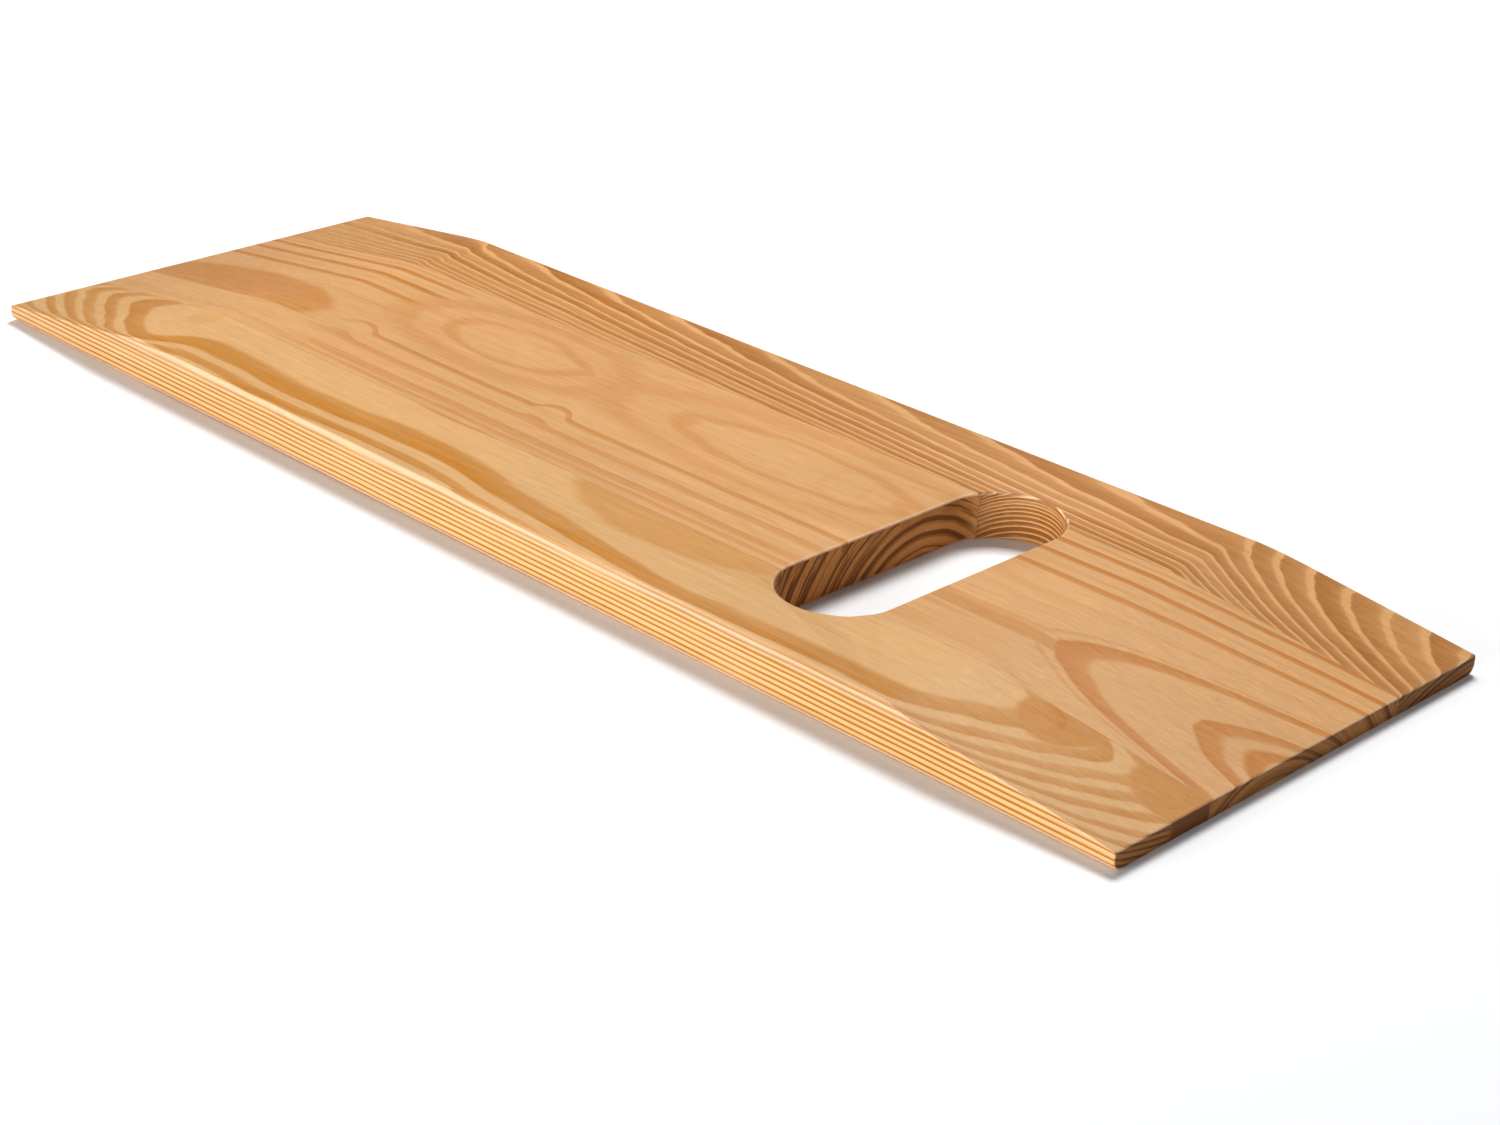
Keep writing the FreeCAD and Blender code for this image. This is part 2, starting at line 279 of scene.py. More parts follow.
def make_piece(panel, node, material):
    """The part of the panel that stands for one CAD node.

    The long and short parts of the middle strip meet at the middle of the hand hole, where there
    is no wood, so one cut there parts them.
    """
    low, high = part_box(node)
    bm = panel.copy()
    if low.y > -WIDTH / 2 + CUT_MARGIN:
        cut_away(bm, (0, low.y, 0), (0, -1, 0))
    if high.y < WIDTH / 2 - CUT_MARGIN:
        cut_away(bm, (0, high.y, 0), (0, 1, 0))
    if node.endswith("_long"):
        cut_away(bm, (HOLE_X, 0, 0), (1, 0, 0))
    if node.endswith("_short"):
        cut_away(bm, (HOLE_X, 0, 0), (-1, 0, 0))
    merge_flats(bm)
    bmesh.ops.recalc_face_normals(bm, faces=bm.faces)
    mesh = bpy.data.meshes.new(f"{node}_shape")
    bm.to_mesh(mesh)
    bm.free()
    mesh.shade_smooth()
    mesh.set_sharp_from_angle(angle=SMOOTH_ANGLE)
    mesh.materials.append(material)
    piece = bpy.data.objects.new(f"{node}_finished", mesh)
    bpy.context.scene.collection.objects.link(piece)
    weighted = piece.modifiers.new("weighted_normals", "WEIGHTED_NORMAL")
    weighted.keep_sharp = True
    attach(piece, "root")
    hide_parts(node)
    return piece


# ---------------------------------------------------------------- shader building blocks

RELIEF_DEPTH = 0.05 * MM


class Graph:
    """Adds nodes to one material. Most methods return the new node's output socket."""

    def __init__(self, name):
        self.material = bpy.data.materials.new(name)
        self.material.use_nodes = True
        self.tree = self.material.node_tree
        self.tree.nodes.clear()
        self.position = self.add("ShaderNodeTexCoord").outputs["Object"]

    def add(self, kind, **settings):
        """A new node of the given kind."""
        node = self.tree.nodes.new(kind)
        for name, value in settings.items():
            setattr(node, name, value)
        return node

    def feed(self, socket, value):
        """Link a socket, or set its value."""
        if isinstance(value, bpy.types.NodeSocket):
            self.tree.links.new(value, socket)
        else:
            socket.default_value = value

    def maths(self, operation, *values):
        """Result of one operation on sockets or numbers."""
        node = self.add("ShaderNodeMath", operation=operation)
        for socket, value in zip(node.inputs, values):
            self.feed(socket, value)
        return node.outputs[0]

    def plus(self, first, second):
        return self.maths("ADD", first, second)

    def minus(self, first, second):
        return self.maths("SUBTRACT", first, second)

    def times(self, first, second):
        return self.maths("MULTIPLY", first, second)

    def over(self, first, second):
        return self.maths("DIVIDE", first, second)

    def larger(self, first, second):
        return self.maths("MAXIMUM", first, second)

    def absolute(self, value):
        return self.maths("ABSOLUTE", value)

    def sum_of_squares(self, first, second):
        return self.plus(self.times(first, first), self.times(second, second))

    def distance(self, first, second):
        """Distance of a point from the origin of its plane."""
        return self.maths("SQRT", self.sum_of_squares(first, second))

    def split(self, vector):
        """The three parts of a vector."""
        node = self.add("ShaderNodeSeparateXYZ")
        self.feed(node.inputs[0], vector)
        return node.outputs[0], node.outputs[1], node.outputs[2]

    def scaled(self, vector, factor):
        node = self.add("ShaderNodeVectorMath", operation="SCALE")
        self.feed(node.inputs[0], vector)
        self.feed(node.inputs["Scale"], factor)
        return node.outputs[0]

    def in_cells(self, cell):
        """Object position counted in cells of the given size along X, Y and Z."""
        node = self.add("ShaderNodeVectorMath", operation="DIVIDE")
        self.feed(node.inputs[0], self.position)
        node.inputs[1].default_value = cell
        return node.outputs[0]

    def noise(self, cell, detail=2.0, roughness=0.5, seed=0.0):
        """Noise from 0 to 1 whose patches have the given size along X, Y and Z."""
        node = self.add("ShaderNodeTexNoise", noise_dimensions="4D")
        self.feed(node.inputs["Vector"], self.in_cells(cell))
        node.inputs["W"].default_value = seed
        node.inputs["Scale"].default_value = 1.0
        node.inputs["Detail"].default_value = detail
        node.inputs["Roughness"].default_value = roughness
        return node.outputs["Fac"]

    def noise_along(self, value):
        """Noise from 0 to 1 that changes along one value only, over steps of about 1."""
        node = self.add("ShaderNodeTexNoise", noise_dimensions="1D")
        self.feed(node.inputs["W"], value)
        node.inputs["Scale"].default_value = 1.0
        return node.outputs["Fac"]

    def random_number(self, value):
        """A number from 0 to 1 that is another one for each value."""
        node = self.add("ShaderNodeTexWhiteNoise", noise_dimensions="1D")
        self.feed(node.inputs["W"], value)
        return node.outputs["Value"]

    def wobble(self, size, cell, detail=2.0, seed=0.0):
        """Noise around zero: a noise of 0 or 1 moves by the given size."""
        return self.times(self.minus(self.noise(cell, detail, seed=seed), 0.5), 2 * size)

    def map(self, value, low, high, to_low=0.0, to_high=1.0, kind="SMOOTHSTEP"):
        """Value carried from one range to another, eased at both ends, and level beyond them."""
        node = self.add("ShaderNodeMapRange", interpolation_type=kind)
        for socket, number in zip(node.inputs, (value, low, high, to_low, to_high)):
            self.feed(socket, number)
        return node.outputs[0]

    def linear(self, value, low, high, to_low, to_high):
        """Value carried from one range to another evenly, and level beyond them."""
        return self.map(value, low, high, to_low, to_high, "LINEAR")

    def curve(self, value, points, smooth=True):
        """Result of a curve through (value, result) points; level beyond its ends."""
        low, high = points[0][0], points[-1][0]
        least = min(result for _, result in points)
        most = max(result for _, result in points)
        node = self.add("ShaderNodeFloatCurve")
        curve = node.mapping.curves[0]
        while len(curve.points) < len(points):
            curve.points.new(0.5, 0.5)
        for handle, (number, result) in zip(curve.points, points):
            handle.location = ((number - low) / (high - low), (result - least) / (most - least))
            handle.handle_type = "AUTO_CLAMPED" if smooth else "VECTOR"
        node.mapping.update()
        self.feed(node.inputs["Value"], self.linear(value, low, high, 0.0, 1.0))
        return self.linear(node.outputs[0], 0.0, 1.0, least, most)

    def mix(self, share, first, second):
        """Colour that goes from the first to the second as the share goes from 0 to 1."""
        node = self.add("ShaderNodeMix", data_type="RGBA", blend_type="MIX")
        self.feed(node.inputs["Factor"], share)
        for name, value in (("A", first), ("B", second)):
            socket = [s for s in node.inputs if s.name == name and s.type == "RGBA"][0]
            self.feed(socket, value if isinstance(value, bpy.types.NodeSocket) else (*value, 1))
        return [s for s in node.outputs if s.type == "RGBA"][0]

    def complete(self, surface, relief, strength):
        """Give the surface a fine relief and make it the surface of the material."""
        bump = self.add("ShaderNodeBump")
        bump.inputs["Strength"].default_value = strength
        bump.inputs["Distance"].default_value = RELIEF_DEPTH
        self.feed(bump.inputs["Height"], relief)
        self.feed(surface.inputs["Normal"], bump.outputs[0])
        output = self.add("ShaderNodeOutputMaterial")
        self.feed(output.inputs["Surface"], surface.outputs[0])
        return self.material


# One growth ring across its width: (ring widths from its darkest place, share of its darkness).
RING_SHAPE = [(-1.0, 0.0), (-0.8, 0.75), (0.0, 1.0), (0.1, 0.0)]


def ring_lines(rings, sharp_side):
    """Curve points for growth rings given as (place, width, darkness).

    Each ring darkens over its width and ends sharply on the side given, +1 or -1.
    """
    points = []
    for place, width, darkness in rings:
        for steps, share in RING_SHAPE:
            points.append((place + sharp_side * steps * width, share * darkness))
    return sorted(points)


# ---------------------------------------------------------------- growth rings of the staves

# A wobble is given as (size, size of its patches along X, Y and Z), then detail and seed. A patch
# of the top is an oval: (middle x, middle y, half length, half width).
OVAL_EDGE = (1.15, 0.8)
OVAL_WOBBLE = (0.18, (30 * MM, 8 * MM, 20 * MM))
EYE_WOBBLE = (0.16, (35 * MM, 9 * MM, 20 * MM))


def oval_square(graph, x, y, outline):
    """Square of the distance from an oval's middle, 1 on its outline."""
    middle_x, middle_y, half_length, half_width = outline
    along = graph.over(graph.minus(x, middle_x), half_length)
    across = graph.over(graph.minus(y, middle_y), half_width)
    return graph.sum_of_squares(along, across)


def patch(graph, x, y, outline):
    """Soft-edged oval patch, 1 inside and 0 outside."""
    square = oval_square(graph, x, y, outline)
    uneven = graph.wobble(*OVAL_WOBBLE, seed=outline[0])
    return graph.map(graph.plus(square, uneven), *OVAL_EDGE)


def eye(graph, x, y, outline):
    """Nested oval lines around a point of the top."""
    size = graph.maths("SQRT", oval_square(graph, x, y, outline))
    uneven = graph.wobble(*EYE_WOBBLE, seed=outline[0] + 1)
    return graph.curve(graph.plus(size, uneven), EYE_LINES)


def stretch(graph, x, places):
    """1 along one stretch of the board: 0, 1, 1 and 0 at the four places, in the order of X."""
    start, full, still_full, end = places
    return graph.times(graph.map(x, start, full), graph.map(x, end, still_full))


# Front stave: its rings are shallow bowls, lowest near the glue line, given as (y, height). Their
# level wanders along the board, given as (x, level), but not beside the long side. Rings are
# (level, width, darkness), and patches are (outline, darkness). The side lines are levels in mm.
FRONT_SAG = [
    (-102 * MM, 8.2 * MM),
    (-90 * MM, 5.2 * MM),
    (-73 * MM, 2.2 * MM),
    (-62 * MM, 1.0 * MM),
    (-57 * MM, 1.3 * MM),
    (-52 * MM, 2.6 * MM),
]
FRONT_SIDE_LEVEL = 14.2 * MM
FRONT_SIDE_RUN = 5 * MM
FRONT_WANDER = [
    (-305 * MM, 12.6 * MM),
    (-249 * MM, 12.8 * MM),
    (-237 * MM, 12.3 * MM),
    (-221 * MM, 12.3 * MM),
    (-181 * MM, 16.0 * MM),
    (-113 * MM, 15.6 * MM),
    (-53 * MM, 16.3 * MM),
    (7 * MM, 15.2 * MM),
    (87 * MM, 13.4 * MM),
    (111 * MM, 12.8 * MM),
    (127 * MM, 13.2 * MM),
    (211 * MM, 13.8 * MM),
    (305 * MM, 13.8 * MM),
]
SIDE_LINES = (-26.5, -24.3, -22.2, -20.0, -17.9, -15.6, -13.5, -11.4, -9.2)
FRONT_RINGS = [(line * MM, 0.95 * MM, 0.9) for line in SIDE_LINES]
FRONT_RINGS += [
    (-7.4 * MM, 1.1 * MM, 0.85),
    (-5.6 * MM, 1.1 * MM, 0.8),
    (-3.6 * MM, 1.2 * MM, 0.9),
    (-1.2 * MM, 2.2 * MM, 1.0),
    (4.4 * MM, 1.2 * MM, 0.2),
    (7.5 * MM, 1.2 * MM, 0.15),
]
FRONT_PATCHES = [
    ((70 * MM, -50 * MM, 56 * MM, 25 * MM), 0.5),
    ((250 * MM, -54 * MM, 17 * MM, 20 * MM), 0.8),
    ((299 * MM, -58 * MM, 20 * MM, 17 * MM), 0.75),
]
FRONT_WOBBLE = (0.5 * MM, (45 * MM, 9 * MM, 9 * MM))
FRONT_FADING = (0.8, 1.08)
FRONT_FADING_CELL = (55 * MM, 10 * MM, 10 * MM)
FRONT_FADING_RANGE = (0.3, 0.7)


def front_latewood(graph, x, y, z):
    """Front stave: wide bands that wander over the top, and fine straight lines down the side."""
    off_side = graph.map(y, -WIDTH / 2, -WIDTH / 2 + FRONT_SIDE_RUN)
    wander = graph.minus(graph.curve(x, FRONT_WANDER), FRONT_SIDE_LEVEL)
    wander = graph.plus(FRONT_SIDE_LEVEL, graph.times(off_side, wander))
    level = graph.minus(graph.minus(z, graph.curve(y, FRONT_SAG)), wander)
    level = graph.plus(level, graph.wobble(*FRONT_WOBBLE))
    rings = graph.curve(level, ring_lines(FRONT_RINGS, -1), smooth=False)
    fading = graph.noise(FRONT_FADING_CELL, seed=2.0)
    rings = graph.times(rings, graph.linear(fading, *FRONT_FADING_RANGE, *FRONT_FADING))
    for outline, darkness in FRONT_PATCHES:
        rings = graph.larger(rings, graph.times(patch(graph, x, y, outline), darkness))
    return rings, level


# Middle stave: the pith is below the board, given as (x, y) and (x, height). It bends sideways and
# rises before the hand hole, and sinks under the far taper. Rings are (radius, width, darkness)
# and are faint over the middle of the board, where stripes (y, width, darkness) replace them.
# The stripes step aside at small peaks, given as (x, y). The lines of an eye are (share of its
# size, darkness).
MIDDLE_PITH_Y = [
    (-305 * MM, -20.6 * MM),
    (-160 * MM, -20.6 * MM),
    (70 * MM, 24 * MM),
    (125 * MM, 24 * MM),
    (165 * MM, -20.6 * MM),
    (305 * MM, -20.6 * MM),
]
MIDDLE_PITH_HEIGHT = [
    (-305 * MM, -52.8 * MM),
    (-206 * MM, -41 * MM),
    (70 * MM, -41 * MM),
    (100 * MM, -30 * MM),
    (125 * MM, -30 * MM),
    (165 * MM, -41 * MM),
    (305 * MM, -41 * MM),
]
MIDDLE_RINGS = [
    (38.5 * MM, 1.0 * MM, 0.6),
    (43.9 * MM, 1.1 * MM, 0.6),
    (49.3 * MM, 1.3 * MM, 0.9),
    (51.8 * MM, 1.5 * MM, 0.85),
    (58.9 * MM, 2.0 * MM, 0.85),
    (60.1 * MM, 0.5 * MM, 0.35),
    (66.0 * MM, 2.0 * MM, 0.15),
    (73.6 * MM, 2.2 * MM, 0.85),
    (77.3 * MM, 1.2 * MM, 0.2),
    (82.0 * MM, 2.4 * MM, 0.95),
    (89.4 * MM, 2.4 * MM, 0.95),
    (92.6 * MM, 1.3 * MM, 0.4),
]
MIDDLE_WOBBLE = (0.8 * MM, (60 * MM, 14 * MM, 14 * MM))
MIDDLE_CALM = (-180 * MM, -150 * MM, 120 * MM, 165 * MM)
MIDDLE_CALM_STRENGTH = 0.15
MIDDLE_STRIPED = (-190 * MM, -150 * MM, 150 * MM, 205 * MM)
MIDDLE_STRIPES = [
    (-47.5 * MM, 3.0 * MM, 0.45),
    (-41.0 * MM, 5.0 * MM, 0.50),
    (-29.0 * MM, 4.5 * MM, 0.50),
    (-17.5 * MM, 3.5 * MM, 0.65),
]
STRIPE_WOBBLE = (1.6 * MM, (50 * MM, 30 * MM, 30 * MM), 3.0)
MIDDLE_PEAKS = [
    (-300 * MM, 0),
    (-178 * MM, 0),
    (-163 * MM, 6.5 * MM),
    (-148 * MM, 0),
    (-52 * MM, 0),
    (-39 * MM, 6.5 * MM),
    (-26 * MM, 0),
    (300 * MM, 0),
]
MIDDLE_PEAKS_FADE = (-35 * MM, -15 * MM)
MIDDLE_EYES = [
    (-103 * MM, 19 * MM, 60 * MM, 26 * MM),
    (58 * MM, 19 * MM, 94 * MM, 26 * MM),
]
EYE_LINES = [
    (0.0, 0.0),
    (0.50, 0.04),
    (0.64, 0.42),
    (0.74, 0.10),
    (0.88, 0.08),
    (1.02, 0.34),
    (1.16, 0.26),
    (1.35, 0.0),
]
MIDDLE_RIDGE = (192 * MM, -24 * MM, 42 * MM, 4 * MM)
RIDGE_STRENGTH = 0.5
MIDDLE_TONGUE = (-250 * MM, -17.6 * MM, 64 * MM, 23 * MM)
TONGUE_STRENGTH = 0.6
TONGUE_SIDE_FADE = (-28 * MM, -26.5 * MM)
TONGUE_HEIGHT_FADE = (5 * MM, 7 * MM)
SHAPES_HEIGHT_FADE = (0.5 * THICKNESS, 0.9 * THICKNESS)


def middle_stripes(graph, x, y):
    """Long wavering stripes over the middle of the board, with the small peaks in them."""
    peaks = graph.times(graph.curve(x, MIDDLE_PEAKS), graph.map(y, *MIDDLE_PEAKS_FADE))
    wavering = graph.minus(graph.plus(y, graph.wobble(*STRIPE_WOBBLE)), peaks)
    stripes = graph.curve(wavering, ring_lines(MIDDLE_STRIPES, 1), smooth=False)
    return graph.times(stripes, stretch(graph, x, MIDDLE_STRIPED))


def middle_tongue(graph, x, y, z):
    """Dark tongue on the far taper, cut off along one side."""
    tongue = graph.times(patch(graph, x, y, MIDDLE_TONGUE), graph.map(y, *TONGUE_SIDE_FADE))
    return graph.times(tongue, graph.map(z, *TONGUE_HEIGHT_FADE, 0.0, TONGUE_STRENGTH))


def middle_latewood(graph, x, y, z):
    """Middle stave: pale flat-sawn wood; the tapers cut its rings into nested arches."""
    across = graph.minus(y, graph.curve(x, MIDDLE_PITH_Y))
    up = graph.minus(z, graph.curve(x, MIDDLE_PITH_HEIGHT, smooth=False))
    radius = graph.plus(graph.distance(across, up), graph.wobble(*MIDDLE_WOBBLE))
    rings = graph.curve(radius, ring_lines(MIDDLE_RINGS, 1), smooth=False)

    on_top = graph.map(z, *SHAPES_HEIGHT_FADE)
    calm = graph.times(stretch(graph, x, MIDDLE_CALM), on_top)
    rings = graph.times(rings, graph.linear(calm, 0.0, 1.0, 1.0, MIDDLE_CALM_STRENGTH))
    ridge = graph.times(patch(graph, x, y, MIDDLE_RIDGE), RIDGE_STRENGTH)
    shapes = graph.larger(middle_stripes(graph, x, y), ridge)
    for outline in MIDDLE_EYES:
        shapes = graph.larger(shapes, eye(graph, x, y, outline))
    shapes = graph.larger(graph.times(shapes, on_top), middle_tongue(graph, x, y, z))
    return graph.larger(rings, shapes), radius


# Back stave: the pith is far below the board's back edge, given as (x, height), and rises towards
# the near end. The rings are counted outwards, given as (radius, count), and each has the same
# shape across its width, given as (share, darkness).
BACK_PITH_Y = 105.9 * MM
BACK_PITH_HEIGHT = [
    (-305 * MM, -144.1 * MM),
    (-206 * MM, -129.9 * MM),
    (305 * MM, -117.7 * MM),
]
BACK_WOBBLE = (0.35 * MM, (50 * MM, 14 * MM, 14 * MM))
BACK_FINE_WOBBLE = (0.25 * MM, (18 * MM, 4 * MM, 4 * MM), 2.0, 3.0)
BACK_RING_COUNT = [
    (118 * MM, 0.0),
    (130 * MM, 5.0),
    (138 * MM, 8.6),
    (144 * MM, 12.4),
    (150 * MM, 17.4),
    (164 * MM, 30.0),
]
BACK_RING_SHAPE = [(0.0, 0.0), (0.16, 0.1), (0.3, 0.7), (0.6, 0.9), (0.9, 1.0), (1.0, 0.0)]
BACK_WEAKEST_RING = 0.55
BACK_FAR_END_FADE = (-300 * MM, -215 * MM)
BACK_FAR_END_STRENGTH = 0.5


def back_latewood(graph, x, y, z):
    """Back stave: close rings that slant across it, wide brown bands between thin cream lines."""
    across = graph.minus(y, BACK_PITH_Y)
    up = graph.minus(z, graph.curve(x, BACK_PITH_HEIGHT, smooth=False))
    radius = graph.plus(graph.distance(across, up), graph.wobble(*BACK_WOBBLE))
    radius = graph.plus(radius, graph.wobble(*BACK_FINE_WOBBLE))
    count = graph.curve(radius, BACK_RING_COUNT)
    dark = graph.curve(graph.maths("FRACT", count), BACK_RING_SHAPE)
    random = graph.random_number(graph.maths("FLOOR", count))
    strength = graph.linear(random, 0.0, 1.0, BACK_WEAKEST_RING, 1.0)
    far_end = graph.map(x, *BACK_FAR_END_FADE, BACK_FAR_END_STRENGTH, 1.0)
    return graph.times(dark, graph.times(strength, far_end)), radius


# ---------------------------------------------------------------- materials

# Layers of the grain in every stave: size of the patches along X, Y and Z, detail, roughness, and
# the number that is added to the stave's seed.
GRAIN = {
    "fibres": ((14 * MM, 0.35 * MM, 0.35 * MM), 3.0, 0.6, 0),
    "streaks": ((90 * MM, 2.2 * MM, 2.2 * MM), 3.0, 0.55, 1),
    "clouds": ((120 * MM, 40 * MM, 40 * MM), 2.0, 0.5, 2),
    "mottling": ((7 * MM, 2.4 * MM, 2.4 * MM), 2.0, 0.5, 3),
    "flecks": ((5 * MM, 0.7 * MM, 0.7 * MM), 1.0, 0.5, 4),
    "bundles": ((38 * MM, 0.9 * MM, 0.9 * MM), 2.0, 0.6, 5),
}

# Where most of a noise's values lie, and how dark and how light each layer makes the wood there.
NOISE_RANGE = (0.25, 0.75)
TONES = [
    ("clouds", 0.93, 1.05),
    ("fibres", 0.87, 1.09),
    ("bundles", 0.90, 1.08),
    ("mottling", 0.97, 1.03),
]
# Painted shade: the far taper is darkened to this share of its brightness.
FAR_TAPER_PAINTED_SHADE = 0.86

# The streaks deepen the rings, and stain the wood from one noise value to another.
STREAK_DEPTH = (0.8, 1.1)
STREAK_STAIN_RANGE = (0.35, 0.8)
STREAK_STAIN = 0.16

# How far a face must turn to the side before it counts as a long side, and what changes there:
# painted light makes its pale wood paler, and its rings stand out more.
SIDE_TURN = (0.3, 0.8)
SIDE_PAINTED_LIGHT = 0.75
SIDE_CONTRAST = 1.4

# How far a face must turn along the board before it counts as a cut across the fibres. Its fine
# rings are weaker, and its wood is darker, on the outer ends than in the hand hole.
CUT_TURN = (0.84, 0.99)
OUTER_END = (LENGTH / 2 - 3 * MM, LENGTH / 2 - 1 * MM)
END_RING_SPACING = 2.9 * MM
END_RING_RANGE = (0.46, 0.62)
END_RING_STRENGTH = 0.8
OUTER_RING_SHARE = 0.4
OUTER_DARKENING = 0.4

# The slants between which an edge counts as rounded and gets a painted highlight: from the sides,
# and up to the top. The strengths of the painted highlight are those on pale wood and on a dark
# ring.
ROUNDED_FROM = (0.15, 0.5)
ROUNDED_UP_TO = (0.985, 0.9)
EDGE_HIGHLIGHT_STRENGTH = (0.75, 0.15)

FLECK_RANGE = (0.80, 0.84)
FLECK_STRENGTH = 0.5

# The lacquer: values on pale wood and on a dark ring, or along the fibres and across them.
LACQUER_ROUGHNESS = (0.42, 0.34)
LACQUER_UNEVENNESS = (0.05, (25 * MM, 4 * MM, 4 * MM))
LACQUER_SPECULAR = (0.14, 0.03)
LACQUER_COAT = (0.10, 0.0)
LACQUER_COAT_ROUGHNESS = 0.12
LACQUER_COAT_IOR = 1.5
FIBRE_RELIEF = 0.6
RING_RELIEF = 0.06
WOOD_RELIEF_STRENGTH = 0.3
GLUE_RELIEF_STRENGTH = 0.4


def grain_layers(graph, seed):
    """The layers of the grain, by name."""
    layers = {}
    for name, (cell, detail, roughness, step) in GRAIN.items():
        layers[name] = graph.noise(cell, detail, roughness, seed + step)
    return layers


def long_grain(graph, rings, streaks, sideways, pale, dark):
    """Colour along the fibres: pale wood, dark rings and faint streaks.

    On the long sides the pale wood is painted paler, as painted light, and the rings stand out more.
    """
    # Painted light: the pale wood of the long sides is mixed towards a paler colour.
    pale = graph.mix(graph.map(sideways, *SIDE_TURN, 0.0, SIDE_PAINTED_LIGHT), pale, SIDE_PAINTED_LIGHT_COLOUR)
    rings = graph.times(rings, graph.linear(streaks, *NOISE_RANGE, *STREAK_DEPTH))
    rings = graph.times(rings, graph.map(sideways, *SIDE_TURN, 1.0, SIDE_CONTRAST))
    colour = graph.mix(rings, pale, dark)
    return graph.mix(graph.map(streaks, *STREAK_STAIN_RANGE, 0.0, STREAK_STAIN), colour, dark)


def end_grain(graph, rings, level, x):
    """Colour where the fibres are cut across and drink in the lacquer: darker, with fine rings."""
    outer = graph.map(graph.absolute(x), *OUTER_END)
    fine = graph.noise_along(graph.over(level, END_RING_SPACING))
    fine = graph.map(fine, *END_RING_RANGE, 0.0, END_RING_STRENGTH)
    fine = graph.times(fine, graph.map(outer, 0.0, 1.0, 1.0, OUTER_RING_SHARE))
    colour = graph.mix(graph.larger(rings, fine), END_GRAIN_PALE, END_GRAIN_DARK)
    return graph.mix(graph.times(outer, OUTER_DARKENING), colour, END_GRAIN_DARK)


def painted_edge_highlight(graph, rings, upward):
    """How pale the painted highlight makes the rounded and eased edges."""
    rounded = graph.times(graph.map(upward, *ROUNDED_FROM), graph.map(upward, *ROUNDED_UP_TO))
    return graph.times(rounded, graph.map(rings, 0.0, 1.0, *EDGE_HIGHLIGHT_STRENGTH))


def tone_and_painted_shade(graph, layers, x):
    """Brightness of the wood: uneven in every layer of the grain, and darker over the far taper as
    painted shade.
    """
    tone = 1.0
    for name, darkest, palest in TONES:
        layer = graph.linear(layers[name], *NOISE_RANGE, darkest, palest)
        tone = graph.times(tone, layer)
    return graph.times(tone, graph.map(x, -LENGTH / 2, -FLAT_HALF, FAR_TAPER_PAINTED_SHADE, 1.0))


def lacquered(graph, colour, rings, fibres, cut):
    """Satin lacquer over the wood: thin across the fibres, with the fibres felt through it."""
    surface = graph.add("ShaderNodeBsdfPrincipled")
    graph.feed(surface.inputs["Base Color"], colour)
    roughness = graph.linear(rings, 0.0, 1.0, *LACQUER_ROUGHNESS)
    roughness = graph.plus(roughness, graph.wobble(*LACQUER_UNEVENNESS))
    graph.feed(surface.inputs["Roughness"], roughness)
    specular = graph.map(cut, 0.0, 1.0, *LACQUER_SPECULAR)
    graph.feed(surface.inputs["Specular IOR Level"], specular)
    graph.feed(surface.inputs["Coat Weight"], graph.map(cut, 0.0, 1.0, *LACQUER_COAT))
    surface.inputs["Coat Roughness"].default_value = LACQUER_COAT_ROUGHNESS
    surface.inputs["Coat IOR"].default_value = LACQUER_COAT_IOR
    relief = graph.plus(graph.times(fibres, FIBRE_RELIEF), graph.times(rings, RING_RELIEF))
    return graph.complete(surface, relief, WOOD_RELIEF_STRENGTH)


def make_wood(name, latewood, pale, dark, seed):
    """Lacquered wood whose rings run through the solid, with fibres along X."""
    graph = Graph(name)
    x, y, z = graph.split(graph.position)
    normal = graph.add("ShaderNodeNewGeometry").outputs["True Normal"]
    along, sideways, upward = [graph.absolute(part) for part in graph.split(normal)]
    rings, level = latewood(graph, x, y, z)
    layers = grain_layers(graph, seed)

    cut = graph.map(along, *CUT_TURN)
    colour = long_grain(graph, rings, layers["streaks"], sideways, pale, dark)
    colour = graph.mix(cut, colour, end_grain(graph, rings, level, x))
    # Painted highlight: the rounded and eased edges are mixed towards a pale colour.
    colour = graph.mix(painted_edge_highlight(graph, rings, upward), colour, EDGE_HIGHLIGHT_COLOUR)
    flecks = graph.times(graph.map(layers["flecks"], *FLECK_RANGE), FLECK_STRENGTH)
    colour = graph.mix(flecks, colour, FLECK_COLOUR)
    colour = graph.scaled(colour, tone_and_painted_shade(graph, layers, x))
    return lacquered(graph, colour, rings, layers["fibres"], cut)


def make_glue():
    """Thin amber line of dried glue."""
    graph = Graph("dried_glue")
    speckle = graph.noise((6 * MM, 0.4 * MM, 1.5 * MM), detail=3.0, roughness=0.6, seed=11.0)
    surface = graph.add("ShaderNodeBsdfPrincipled")
    colour = graph.mix(graph.map(speckle, 0.3, 0.75), GLUE_DARK, GLUE_PALE)
    graph.feed(surface.inputs["Base Color"], colour)
    graph.feed(surface.inputs["Roughness"], graph.linear(speckle, 0.2, 0.8, 0.3, 0.5))
    return graph.complete(surface, speckle, GLUE_RELIEF_STRENGTH)


# ---------------------------------------------------------------- floor, lights and camera

FLOOR_SIZE = 30.0
FLOOR_ROUGHNESS = 0.8
FLOOR_SPECULAR = 0.2

# Soft lights from behind, from the left and along the front side: name, place, the point it is
# turned to, size, power in watts and colour.
LIGHTS = [
    ("overhead_back", (-0.6, 0.95, 1.9), (0, 0, 0), (0.9, 0.8), 60, (1, 1, 1)),
    ("overhead_left", (-1.5, 0.0, 1.2), (0, 0, 0), (0.8, 0.9), 6, (1, 1, 1)),
    ("front_side", (0.05, -1.9, 0.36), (0, -0.1, 0.02), (1.5, 0.5), 38, (0.98, 0.985, 1)),
]
SURROUND_COLOUR = (0.96, 0.98, 1)
SURROUND_STRENGTH = 0.13

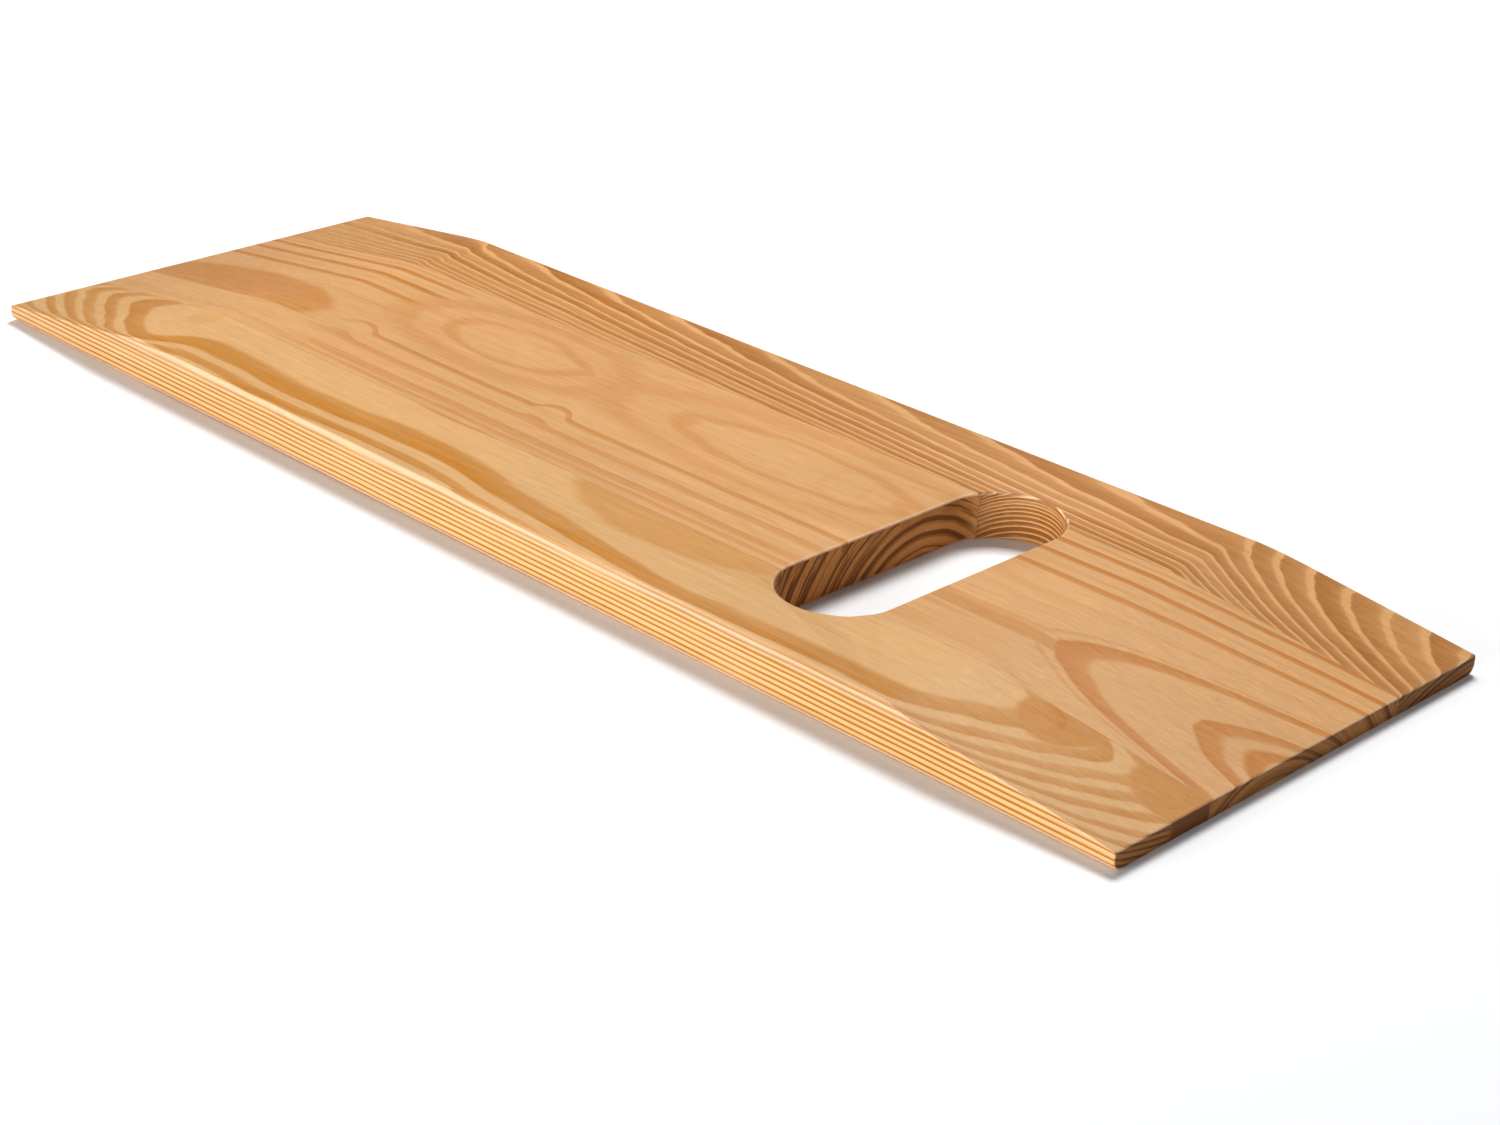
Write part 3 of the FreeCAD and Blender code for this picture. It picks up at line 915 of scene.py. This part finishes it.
# The camera faces a point under the board, from this turn about Z and this lift above the floor.
CAMERA_TURN = math.radians(46.776)
CAMERA_LIFT = math.radians(24.581)
CAMERA_ROLL = math.radians(1.604)
CAMERA_TARGET = Vector((14.53, -58.44, 0)) * MM
CAMERA_DISTANCE = 1063.84 * MM
CAMERA_SENSOR = 36
CAMERA_LENS = 67.25
CAMERA_SHIFT = (0.1219, -0.0244)
CAMERA_NEAREST = 0.01


def make_floor():
    """Wide plain pale floor under the board."""
    bm = bmesh.new()
    bmesh.ops.create_grid(bm, x_segments=1, y_segments=1, size=FLOOR_SIZE / 2)
    mesh = bpy.data.meshes.new("floor")
    bm.to_mesh(mesh)
    bm.free()
    floor = bpy.data.objects.new("floor", mesh)
    bpy.context.scene.collection.objects.link(floor)
    material = bpy.data.materials.new("floor_paint")
    material.use_nodes = True
    surface = material.node_tree.nodes["Principled BSDF"]
    surface.inputs["Base Color"].default_value = (*FLOOR_COLOUR, 1)
    surface.inputs["Roughness"].default_value = FLOOR_ROUGHNESS
    surface.inputs["Specular IOR Level"].default_value = FLOOR_SPECULAR
    mesh.materials.append(material)


def make_light(name, place, aim, size, power, colour):
    """Soft rectangular light at a place, turned to the point that it aims at."""
    light = bpy.data.lights.new(name, "AREA")
    light.shape = "RECTANGLE"
    light.size, light.size_y = size
    light.energy = power
    light.color = colour
    lamp = bpy.data.objects.new(name, light)
    lamp.location = place
    lamp.rotation_euler = (Vector(aim) - Vector(place)).to_track_quat("-Z", "Y").to_euler()
    bpy.context.scene.collection.objects.link(lamp)


def make_surround():
    """Dim even light from all around."""
    world = bpy.data.worlds.new("surround")
    world.use_nodes = True
    background = world.node_tree.nodes["Background"]
    background.inputs["Color"].default_value = (*SURROUND_COLOUR, 1)
    background.inputs["Strength"].default_value = SURROUND_STRENGTH
    bpy.context.scene.world = world


def make_camera():
    """Camera beside the near end, looking down and back along the board."""
    outward = math.cos(CAMERA_LIFT)
    sideways = math.sin(CAMERA_TURN) * outward
    back = Vector((sideways, -math.cos(CAMERA_TURN) * outward, math.sin(CAMERA_LIFT)))
    level = (-back).cross(Vector((0, 0, 1))).normalized()
    upright = level.cross(-back).normalized()
    right = level * math.cos(CAMERA_ROLL) + upright * math.sin(CAMERA_ROLL)
    up = upright * math.cos(CAMERA_ROLL) - level * math.sin(CAMERA_ROLL)
    data = bpy.data.cameras.new("camera")
    data.sensor_width = CAMERA_SENSOR
    data.lens = CAMERA_LENS
    data.shift_x, data.shift_y = CAMERA_SHIFT
    data.clip_start = CAMERA_NEAREST
    camera = bpy.data.objects.new("camera", data)
    place = Matrix((right, up, back)).transposed().to_4x4()
    place.translation = CAMERA_TARGET + back * CAMERA_DISTANCE
    camera.matrix_world = place
    bpy.context.scene.collection.objects.link(camera)
    bpy.context.scene.camera = camera


def make_board():
    """All the pieces of the board, cut from one panel."""
    front = make_wood("front_stave_wood", front_latewood, FRONT_PALE, FRONT_DARK, seed=1.3)
    middle = make_wood("middle_stave_wood", middle_latewood, MIDDLE_PALE, MIDDLE_DARK, seed=5.7)
    back = make_wood("back_stave_wood", back_latewood, BACK_PALE, BACK_DARK, seed=9.1)
    glue = make_glue()
    panel = make_panel()
    pieces = [
        ("front_stave", front, "front_stave_wood"),
        ("middle_stave_long", middle, "middle_stave_wood"),
        ("middle_stave_short", middle, "middle_stave_wood"),
        ("back_stave", back, "back_stave_wood"),
        ("front_glue_long", glue, "glue"),
        ("front_glue_short", glue, "glue"),
        ("back_glue_long", glue, "glue"),
        ("back_glue_short", glue, "glue"),
    ]
    for node, material, slot in pieces:
        make_piece(panel, node, material)
    panel.free()


def main():
    make_board()
    make_floor()
    for light in LIGHTS:
        make_light(*light)
    make_surround()
    make_camera()
    bpy.context.scene.view_settings.view_transform = "Standard"


main()
